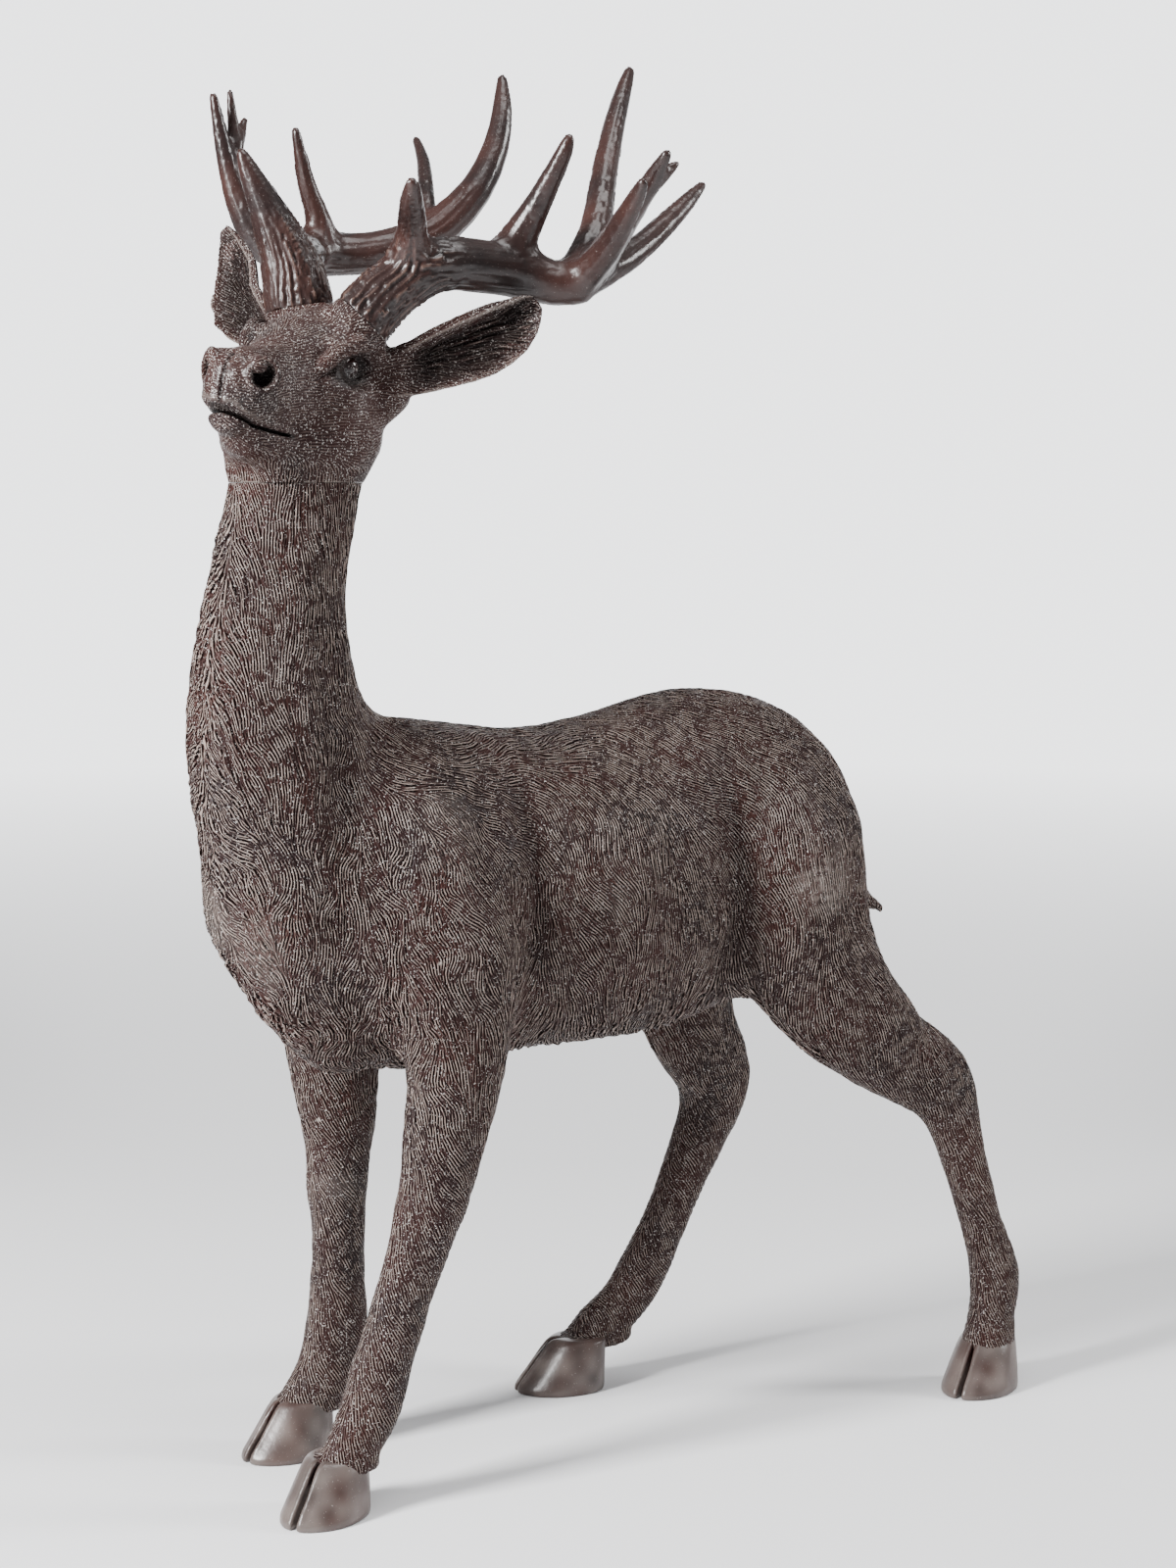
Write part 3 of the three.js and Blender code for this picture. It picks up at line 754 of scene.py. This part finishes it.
# Ears: the direction of their width, then rows from root to tip of forward, left, up and
# half width in millimetres
EARS = {
    1: (
        (0.5, 0.25, -0.83),
        [(-60, 66, -8, 28), (-80, 106, 8, 33), (-98, 136, 28, 40), (-121, 168, 51, 44),
         (-140, 192, 76, 38), (-154, 206, 100, 23), (-159, 212, 110, 12)],
    ),
    -1: (
        (-0.85, 0.25, -0.45),
        [(-60, -64, -4, 26), (-80, -106, 24, 32), (-100, -153, 48, 45), (-122, -174, 82, 40),
         (-138, -199, 112, 26), (-150, -221, 136, 10)],
    ),
}


def ear_place(points, hand):
    """Share of the ear's length and half width at each point, and its lengthwise, sideways
    and frontal directions."""
    width, rows = EARS[hand]
    rows = np.array(rows, float)
    path = rows[:, [1, 0, 2]] * [1, -1, 1] / 1000
    bends = np.gradient(path, axis=0)
    nearest = np.full(len(points), 1.0)
    length = np.zeros(len(points))
    spot, along = np.zeros((len(points), 3)), np.ones((len(points), 3))
    for i in range(len(path) - 1):
        run = path[i + 1] - path[i]
        t = np.clip(((points - path[i]) @ run) / (run @ run), 0, 1)[:, None]
        here = path[i] + t * run
        far = np.linalg.norm(points - here, axis=1)
        closer = far < nearest
        nearest[closer] = far[closer]
        length[closer] = (i + t[closer, 0]) / (len(path) - 1)
        spot[closer] = here[closer]
        along[closer] = ((1 - t) * bends[i] + t * bends[i + 1])[closer]
    along = unit(along)
    across = flatten(np.repeat([width], len(points), axis=0), along)
    front = -hand * np.cross(along, across)
    half = np.interp(length, np.linspace(0, 1, len(rows)), rows[:, 3]) / 1000
    wide = np.sum((points - spot) * across, axis=1) / half
    return length, wide, along, across, front


def head_flow(points, normals):
    """The direction of the short hair on the face, in the head's own frame."""
    x, y, z = points.T
    throat = ramp(-z, 0.10, 0.14)
    ahead = np.stack([0.25 * np.sign(x), 1 + 0 * x, 0.15 - 0 * x], axis=1)
    down = np.stack([0 * x, 0.2 + 0 * x, -1 + 0 * x], axis=1)
    mix = ahead + throat[:, None] * (down - ahead)
    for hand in (1, -1):
        ear = (ramp(hand * x, 0.075, 0.10) * ramp(z, -0.06, -0.03))[:, None]
        _, wide, along, across, _ = ear_place(points, hand)
        mix = mix + ear * (along + (0.25 + 0.5 * wide[:, None]) * across - mix)
    flow = flatten(mix, normals)
    side = np.cross(normals, flow)
    angle = (0.35 * mottle(points, 0.03, 21))[:, None]
    return flow * np.cos(angle) + side * np.sin(angle)


FAR_EAR = 0.35  # the locks inside the far ear are flatter


def ear_cups(points, normals):
    """How far each point is in an ear's hollow or on its rim, and how it moves for them."""
    cup, rim = np.zeros(len(points)), np.zeros(len(points))
    carved = np.zeros((len(points), 3))
    for hand in (1, -1):
        length, wide, _, _, front = ear_place(points, hand)
        facing = ramp(np.sum(normals * front, axis=1), -0.1, 0.35)
        facing = facing * ramp(hand * points[:, 0], 0.085, 0.105)
        wide = (wide - 0.13) / 0.80
        inside = facing * band(length, 0.08, 0.25, 0.88, 1.0) * np.clip(1 - wide**4, 0, 1)
        edge = facing * np.exp(-(((np.abs(wide) - 1.0) / 0.10) ** 2))
        cup, rim = np.maximum(cup, inside), np.maximum(rim, edge)
        carved += front * (0.0026 * edge - 0.012 * inside)[:, None]
    return cup, rim, carved


def face_shade(f, l, u):
    """Painted shade in the eye sockets, nostrils and mouth, painted highlights on the eyeballs
    and along the upper lip, and which points are on the eyeballs.
    """
    side = np.abs(l)
    # eyes: painted shade in the sockets, less on the eyeballs, and a painted highlight on each
    # eyeball
    tilted = u + 7 + 0.10 * (f + 5)
    socket = (1 - ramp(np.hypot((f + 6) / 39, tilted / 22), 0.72, 1.10)) * (side > 40)
    ball = np.linalg.norm(np.stack([f + 18, side - 51, u + 4]), axis=0) < 14.6
    glint = ball * np.exp(-((f + 24) ** 2 + (u + 5) ** 2) / 40)
    # nostrils: painted shade inside the holes
    across = 0.62 * (143 - f) + 0.75 * (side - 38)
    inward = 0.62 * (side - 38) - 0.75 * (143 - f)
    hole = (1 - ramp(np.hypot(across, u + 28), 13.0, 16.0)) * ramp(inward, 0, -5)
    hole = hole * (side > 20) * (f > 115)
    # mouth: painted shade in the slit and a painted highlight along the upper lip
    off = u - mouth_line(f)
    slit = (1 - ramp(np.abs(off), 1.4, 3.0)) * ramp(f, 53, 60)
    upper_lip = np.exp(-(((off - 7) / 4) ** 2)) * ramp(f, 66, 86)
    shade = 1.1 * glint - 0.9 * socket * (1 - 0.4 * ball) - 0.9 * hole - slit + 0.25 * upper_lip
    return shade, ball


def head():
    """The head with its carved hair, cut at the seam."""
    field = head_field()
    thing = build("head_coat", *field.surface())
    points, normals = points_of(thing), normals_of(thing)
    f, l, u = points[:, 1] * -1000, points[:, 0] * 1000, points[:, 2] * 1000
    cup, rim, carved = ear_cups(points, normals)
    flow = head_flow(points, normals)
    points = points + carved
    set_points(thing, points)
    normals = normals_of(thing)
    flow = flatten(flow, normals)
    across = np.cross(normals, flow)
    pad = ramp(f, 140, 152) * (1 - ramp(np.abs(l), 26, 38)) * ramp(u, -70, -62)
    throat = ramp(-u, 110, 150)
    short = strokes(points, across, *SHORT_HAIR, 22)
    long = strokes(points, across, *LONG_HAIR, 23)
    pores = mottle(points, 0.0065, 24) + 0.5 * mottle(points, 0.0035, 26)
    dust = mottle(points, 0.008, 25)
    height = 0.00025 * short * (1 - pad) + 0.0009 * pad * pores + 0.0004 * dust
    height += (0.0030 * cup * np.where(l > 0, 1, FAR_EAR) + 0.0007 * throat) * long
    raised = 0.35 * short * (1 - pad) + 0.5 * (cup + throat) * long + 0.4 * pad * pores
    shade, ball = face_shade(f, l, u)
    # The nose pad a touch paler, with painted shade in the groove down its middle.
    shade += 0.05 * pad - 0.5 * pad * (np.abs(l) < 2.5)
    # Painted highlight on the ears' rims and painted shade in their hollows, less dark on the
    # raised locks.
    shade += 0.45 * rim - 0.92 * cup * (1 - 0.35 * ramp(long, 0.5, 1.0))
    # A painted highlight on the throat, and random tone.
    shade += 0.10 * throat + 0.15 * mottle(points, 0.05, 33)
    hair = np.clip(0.30 + 0.2 * cup + 0.6 * throat, 0, 1) * (1 - 0.4 * pad) * (1 - ball)
    turn = HEAD_PLACE.to_3x3().to_4x4()
    placed, outward = carry(points, HEAD_PLACE), carry(normals, turn)
    shade += 0.4 * seam_filler(placed)
    calm = ramp(np.abs(placed[:, 2] - SEAM), 0.0, 0.008)
    placed += outward * (height * calm)[:, None] + outward * swell(placed)[:, None] * [1, 1, 0]
    set_points(thing, placed)
    tone(thing, carry(flow, turn), outward, raised, hair, shade)
    cut(thing, (0, 0, SEAM + JOINT), (0, 0, -1))
    return thing


# Antlers


def long_axis(points, normals, size):
    """The direction a tube runs at each point, from the normals within about size."""
    cells = np.floor(points / size).astype(int)
    cells -= cells.min(axis=0) - 1
    shape = tuple(cells.max(axis=0) + 2)
    grid = np.zeros(shape + (3, 3), np.float64)
    np.add.at(grid, tuple(cells.T), normals[:, :, None] * normals[:, None, :])
    for axis in range(3):
        grid = grid + np.roll(grid, 1, axis) + np.roll(grid, -1, axis)
    _, vectors = np.linalg.eigh(grid[tuple(cells.T)])
    return vectors[:, :, 0]


# The flat end of each antler in the body's own measurements, and the way it points
ANTLERS = {
    "antler_left": {
        "butt": (0.060, -0.299, 1.404),
        "axis": (0.31, 0.62, 0.72),
        "radius": 0.037,
    },
    "antler_right": {
        "butt": (-0.029, -0.332, 1.420),
        "axis": (-0.12, -0.10, 0.99),
        "radius": 0.040,
    },
}


FORK = 0.018  # radius of the webs in the forks
WEBBED = (1.51, 1.56)  # heights where the webs fade out
SWELLING = 0.0020  # makes up for what the smoothing takes off the tines


def antler_field(name, butt, axis, radius):
    """The solid of an antler with its forks webbed and a round rod up to its butt."""
    points, faces = node_mesh(name)
    low, high = points.min(axis=0) - 0.03, points.max(axis=0) + 0.02
    field = Field(low, high, HORN_VOXEL).measure(points, faces, 0.032)
    x, y, z = field.axes()
    webs = 1 - ramp(z, *WEBBED)
    field.d = field.d + webs * (field.closed(FORK).d - field.d)
    x, y, z = x - butt[0], y - butt[1], z - butt[2]
    above = x * axis[0] + y * axis[1] + z * axis[2]
    far = np.sqrt(np.maximum(x * x + y * y + z * z - above * above, 0))
    rod = np.maximum(far - radius + 0.002, np.abs(above + 0.008) - 0.012)
    field.d = np.minimum(field.d, rod)
    field.d = field.blurred(0.0038) - np.float32(SWELLING)
    return field


def antler(name, row):
    """An antler with ridges that are deep near its butt and fade along the beam."""
    butt = np.array(row["butt"]) + SHIFT
    axis = np.array(Vector(row["axis"]).normalized())
    thing = build(name + "_horn", *antler_field(name, butt, axis, row["radius"]).surface())
    cut(thing, butt, -axis)
    points, normals = points_of(thing), normals_of(thing)
    flow = flatten(long_axis(points, normals, 0.014), normals)
    across = np.cross(normals, flow)
    far = np.linalg.norm(points - butt, axis=1)
    above = (points - butt) @ axis
    burr = 1 - ramp(far, 0.04, 0.20)
    rough = burr * ramp(above, 0.0, 0.006)
    ridges = strokes(points, across, *RIDGE, 4)
    grooves = strokes(points, across, *GROOVE, 9)
    grain = strokes(points, across, *GRAIN, 10)
    height = 0.0020 * rough * ridges + 0.0006 * grooves + 0.0005 * rough * grain
    set_points(thing, points + normals * height[:, None])
    raised = burr * ridges + 0.3 * grooves
    shade = -0.12 + 0.25 * mottle(points, 0.05, 34) - 0.35 * burr * np.clip(-ridges, 0, 1)
    tone(thing, flow, normals, raised, 0.15 * burr, shade)
    return thing


# Materials


def material(name):
    """A material with no nodes yet."""
    made = bpy.data.materials.new(name)
    made.use_nodes = True
    made.node_tree.nodes.clear()
    return made


class Look:
    """The shader nodes of a material or of the world, one call for each."""

    def __init__(self, owner, coordinate="Object"):
        self.owner = owner
        self.nodes, self.links = owner.node_tree.nodes, owner.node_tree.links
        self.place = self.put("ShaderNodeTexCoord", {}).outputs[coordinate]

    def put(self, kind, inputs, **values):
        """A node with its own values and with sockets or numbers at its inputs."""
        made = self.nodes.new(kind)
        for key, value in values.items():
            setattr(made, key, value)
        for key, value in inputs.items():
            if isinstance(value, bpy.types.NodeSocket):
                self.links.new(value, made.inputs[key])
            else:
                made.inputs[key].default_value = value
        return made

    def stored(self, name, output="Fac"):
        return self.put("ShaderNodeAttribute", {}, attribute_name=name).outputs[output]

    def sum(self, a, factor, b):
        """a times factor, plus b."""
        inputs = {0: a, 1: factor, 2: b}
        return self.put("ShaderNodeMath", inputs, operation="MULTIPLY_ADD").outputs[0]

    def product(self, a, b):
        return self.put("ShaderNodeMath", {0: a, 1: b}, operation="MULTIPLY").outputs[0]

    def noise(self, scale, detail):
        inputs = {"Vector": self.place, "Scale": scale, "Detail": detail}
        return self.put("ShaderNodeTexNoise", inputs).outputs["Fac"]

    def hair(self, length, pitch):
        """Fine strokes along the lie of the hair."""
        inputs = {
            "Vector": self.place,
            "Scale": 1 / length,
            "Frequency": length / pitch,
            "Anisotropy": 1.0,
            "Orientation 3D": self.stored("across", "Vector"),
        }
        return self.put("ShaderNodeTexGabor", inputs, gabor_type="3D").outputs["Value"]

    def scale(self, value, low, high, to_low=0.0, to_high=1.0):
        inputs = {0: value, 1: low, 2: high, 3: to_low, 4: to_high}
        return self.put("ShaderNodeMapRange", inputs).outputs[0]

    def blend(self, factor, a, b):
        inputs = {0: factor, 6: a, 7: b}
        return self.put("ShaderNodeMix", inputs, data_type="RGBA").outputs[2]

    def relief(self, height, distance):
        inputs = {"Strength": 1.0, "Distance": distance, "Height": height}
        return self.put("ShaderNodeBump", inputs).outputs[0]

    def finish(self, color, roughness, specular, normal):
        inputs = {
            "Base Color": color,
            "Roughness": roughness,
            "Specular IOR Level": specular,
            "Normal": normal,
        }
        shader = self.put("ShaderNodeBsdfPrincipled", inputs)
        self.put("ShaderNodeOutputMaterial", {0: shader.outputs[0]})
        return self.owner


# Colours of the patina; DARK and PALE also paint shade and highlights
DARK = (0.004, 0.0026, 0.0024, 1)
PALE = (0.36, 0.31, 0.28, 1)
COAT_BLACK = (0.016, 0.009, 0.009, 1)
COAT_BROWN = (0.038, 0.015, 0.0125, 1)
COAT_WORN = (0.27, 0.21, 0.183, 1)
COAT_SPECK = (0.46, 0.43, 0.41, 1)
HORN_BLACK = (0.014, 0.007, 0.0065, 1)
HORN_BROWN = (0.034, 0.012, 0.009, 1)
HORN_WORN = (0.16, 0.10, 0.08, 1)
HORN_SPECK = (0.36, 0.32, 0.30, 1)
SPECK_NOISE = 520  # lumps in a metre


def aged_and_painted_light(look, color, shade):
    """A colour darkened or made paler by the stored shade, which holds real tone as well as
    painted shade and painted highlights.
    """
    darker = look.blend(look.scale(shade, 0, -1, 0, 0.92), color, DARK)
    return look.blend(look.scale(shade, 0.15, 1, 0, 0.85), darker, PALE)


def coat_look():
    """Brown patina, dark between the hairs and rubbed pale on top of them, then darkened or made
    paler by the stored shade, which also holds painted shade and painted highlights.
    """
    look = Look(material("coat_patina_and_painted_light"))
    hair = look.hair(*FINE_HAIR)
    depth, shade = look.stored("hair"), look.stored("shade")
    patches = look.noise(9, 3)
    grain = look.noise(SPECK_NOISE, 2)
    base = look.blend(look.scale(patches, 0.33, 0.67), COAT_BLACK, COAT_BROWN)
    sunk = look.product(look.scale(hair, 0.52, 0.42), depth)
    deep = look.blend(sunk, base, DARK)
    top = look.scale(look.sum(look.stored("relief"), 0.045, hair), 0.54, 0.67)
    worn_and_painted_light = aged_and_painted_light(look, look.blend(look.product(top, depth), deep, COAT_WORN), shade)
    speck = look.scale(grain, look.sum(depth, 0.03, 0.605), look.sum(depth, 0.03, 0.645))
    speck = look.product(speck, look.scale(shade, -0.8, -0.2, 0.3, 0.9))
    color = look.blend(speck, worn_and_painted_light, COAT_SPECK)
    normal = look.relief(look.product(hair, depth), 0.0045)
    rough = look.scale(depth, 0, 0.3, 0.12, 0.42)
    shine = look.product(look.scale(depth, 0, 0.3, 0.5, 0.12), look.scale(sunk, 0, 0.8, 1, 0))
    return look.finish(color, rough, shine, normal)


def horn_look():
    """Smooth red-brown patina, darker in the grooves, then darkened or made paler by the stored
    shade, which on the hooves holds a painted floor reflection and painted shade in the cleft.
    """
    look = Look(material("horn_patina_and_painted_light"))
    patches = look.noise(14, 4)
    grain = look.noise(SPECK_NOISE, 2)
    base = look.blend(look.scale(patches, 0.35, 0.65), HORN_BLACK, HORN_BROWN)
    ridge = look.scale(look.stored("relief"), 0.35, 1.0, 0, 0.6)
    worn_and_painted_light = aged_and_painted_light(look, look.blend(ridge, base, HORN_WORN), look.stored("shade"))
    color = look.blend(look.scale(grain, 0.68, 0.75, 0, 0.6), worn_and_painted_light, HORN_SPECK)
    normal = look.relief(look.noise(90, 2), 0.0005)
    return look.finish(color, look.scale(patches, 0.3, 0.7, 0.28, 0.38), 0.5, normal)


# Build

# The camera of the photograph
CAMERA_PLACE = (3.18671, -2.21748, 1.23)
CAMERA_HEADING = math.radians(55)
CAMERA_DOWN = math.radians(5.85)
FOCAL_PIXELS = 3123
FRAME_PIXELS = 1600  # the longer side
SENSOR = 36

camera_data = bpy.data.cameras.new("camera")
camera = bpy.data.objects.new("camera", camera_data)
bpy.context.scene.collection.objects.link(camera)
bpy.context.scene.camera = camera
camera_data.sensor_width = SENSOR
camera_data.lens = FOCAL_PIXELS / FRAME_PIXELS * SENSOR
camera.location = CAMERA_PLACE
aim = Matrix.Rotation(CAMERA_HEADING, 3, "Z") @ Matrix.Rotation(-CAMERA_DOWN, 3, "X")
camera.rotation_mode = "QUATERNION"
camera.rotation_quaternion = (aim @ Vector((0, 1, 0))).to_track_quat("-Z", "Y")

coat_patina_and_painted_light = coat_look()
horn_patina_and_painted_light = horn_look()


def place_piece(thing, node_name, look):
    """Paints a piece and ties it to the part."""
    thing.data.materials.append(look)
    if not thing.data.has_custom_normals:
        thing.data.shade_smooth()
    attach(thing, "root")
    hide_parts(node_name)


for part in coat():
    place_piece(part, "body", coat_patina_and_painted_light)
for name, row in HOOVES.items():
    place_piece(hoof(name, *row), "body", horn_patina_and_painted_light)
place_piece(head(), "head", coat_patina_and_painted_light)
for name, row in ANTLERS.items():
    place_piece(antler(name, row), name, horn_patina_and_painted_light)

# Floor and light

BEHIND = (-0.82, 0.57, 0)  # the direction in which the studio is brightest
STUDIO = (0.97, 0.98, 1.0, 1)
PAINT = (0.80, 0.80, 0.81, 1)


def backdrop(look, direction):
    """Brightness of the surroundings seen in a direction."""
    toward = look.put("ShaderNodeVectorMath", {0: direction, 1: BEHIND}, operation="DOT_PRODUCT")
    near = look.put(
        "ShaderNodeMapRange",
        {0: toward.outputs["Value"], 1: 0.80, 2: 0.96, 3: 0.30, 4: 3.0},
        interpolation_type="SMOOTHSTEP",
    )
    return near.outputs[0]


def floor_look():
    """Pale paint near the object, which turns into the glow of the backdrop further out."""
    look = Look(material("floor"))
    away = look.put("ShaderNodeVectorMath", {0: look.place}, operation="LENGTH")
    outward = look.put("ShaderNodeVectorMath", {0: look.place}, operation="NORMALIZE")
    glow = backdrop(look, outward.outputs["Vector"])
    paint = look.put("ShaderNodeBsdfDiffuse", {"Color": PAINT})
    shining = look.put("ShaderNodeEmission", {"Color": STUDIO, "Strength": glow})
    share = look.scale(away.outputs["Value"], 1.5, 9)
    inputs = {0: share, 1: paint.outputs[0], 2: shining.outputs[0]}
    mixed = look.put("ShaderNodeMixShader", inputs)
    look.put("ShaderNodeOutputMaterial", {0: mixed.outputs[0]})
    return look.owner


bpy.ops.mesh.primitive_plane_add(size=80, location=(0, 0, 0))
floor = bpy.context.object
floor.data.materials.append(floor_look())

world = bpy.data.worlds.new("studio")
bpy.context.scene.world = world
world.use_nodes = True
background = world.node_tree.nodes["Background"]
background.inputs["Color"].default_value = STUDIO
sky = Look(world, "Generated")
sky.links.new(backdrop(sky, sky.place), background.inputs["Strength"])


def softbox(name, place, aim, width, height, power):
    """A rectangular lamp at a place, aimed at another."""
    data = bpy.data.lights.new(name, "AREA")
    data.shape, data.size, data.size_y, data.energy = "RECTANGLE", width, height, power
    lamp = bpy.data.objects.new(name, data)
    bpy.context.scene.collection.objects.link(lamp)
    lamp.location = place
    lamp.rotation_mode = "QUATERNION"
    lamp.rotation_quaternion = (Vector(aim) - Vector(place)).to_track_quat("-Z", "Y")


softbox("left", (0.3, -4.2, 2.6), (0, -0.2, 1.0), 1.0, 1.8, 640)
softbox("right", (2.4, 4.0, 2.8), (0, 0.1, 0.8), 1.0, 1.8, 210)
softbox("above", (0.9, 0.0, 4.2), (0, 0, 0.8), 2.0, 2.0, 90)
